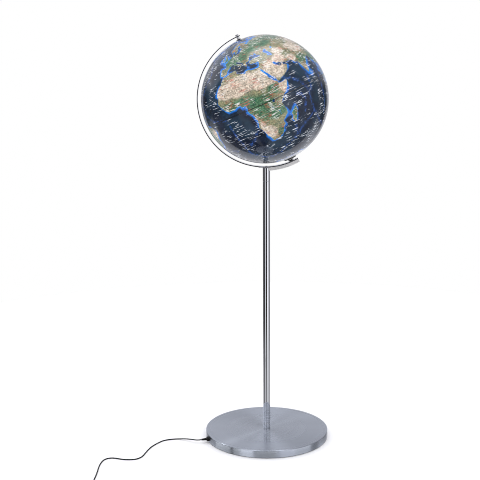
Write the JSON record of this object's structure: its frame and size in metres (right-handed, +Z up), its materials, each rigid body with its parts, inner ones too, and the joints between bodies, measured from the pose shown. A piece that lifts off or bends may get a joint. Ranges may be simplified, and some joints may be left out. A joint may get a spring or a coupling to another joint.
{
  "type": "floor-standing illuminated globe",
  "caption": "Floor-standing illuminated globe: a satellite-style map globe turning on a tilted half-meridian strip, carried by a slim post on a heavy round base, with mains lead.",
  "frame": {"origin": "centre of the base's flat underside, on the post's axis", "axes": "+Z up along the post; the globe's axis leans towards -X in the XZ plane; the cord leaves the base towards -X and -Y"},
  "size_m": [0.732, 0.7259, 1.3099],
  "materials": {
    "chrome": "polished chrome plating",
    "brushed_steel": "round-brushed stainless steel",
    "zinc_steel": "zinc-plated steel",
    "cast_iron": "rough grey iron casting",
    "brass": "plain brass",
    "black_plastic": "black moulded plastic, satin",
    "black_rubber": "black flexible PVC or rubber, matt",
    "white_plastic": "white moulded plastic",
    "map_skin": "glossy acrylic shell with a printed satellite-style map: dark blue oceans, bright blue shelves, tan and green land",
    "opal_plastic": "opal diffuser"
  },
  "bodies": {
    "stand": {"base_cover": "brushed_steel", "base_pad": "black_rubber", "base_plate": "zinc_steel", "base_weight": "cast_iron", "bulb_body": "white_plastic", "bulb_cap": "zinc_steel", "bulb_dome": "opal_plastic", "clamp_screw_1": "zinc_steel", "clamp_screw_2": "zinc_steel", "cord_clamp": "zinc_steel", "cord_coil": "black_rubber", "cord_gland": "black_rubber", "cord_link": "black_rubber", "cord_run": "black_rubber", "cord_tail": "black_rubber", "duct_screw": "zinc_steel", "foot_nut": "zinc_steel", "foot_washer": "zinc_steel", "gland_nut": "black_plastic", "holder_contact": "brass", "inner_lead": "white_plastic", "lamp_holder": "white_plastic", "lead_duct": "brushed_steel", "meridian_strip": "chrome", "north_cap_nut": "chrome", "north_pin": "chrome", "north_spacer": "chrome", "plate_screw_1": "zinc_steel", "plate_screw_2": "zinc_steel", "plate_screw_3": "zinc_steel", "plug_body": "black_rubber", "plug_pin_1": "chrome", "plug_pin_2": "chrome", "post_foot": "chrome", "post_head": "chrome", "post_tube": "chrome", "south_stem": "chrome", "stem_locknut": "chrome", "stem_nut": "zinc_steel", "strip_screw_1": "zinc_steel", "strip_screw_2": "zinc_steel", "switch_base": "black_plastic", "switch_cover": "black_plastic", "thrust_washer": "white_plastic"},
    "globe": {"globe_north": "map_skin", "globe_south": "map_skin", "equator_band": "white_plastic", "north_bush": "black_plastic", "south_collar": "black_plastic"},
    "rocker": {"switch_rocker": "black_plastic"}
  },
  "joints": [
    {"name": "globe_spin", "type": "hinge", "parent": "stand", "child": "globe", "pos_m": [-0.0047, 0, 1.1083], "axis": [-0.3987, 0, 0.9171], "continuous": true},
    {"name": "switch_press", "type": "hinge", "parent": "stand", "child": "rocker", "pos_m": [-0.518, -0.467, 0.0166], "axis": [-1, 0, 0], "range_deg": [0, 12]}
  ]
}
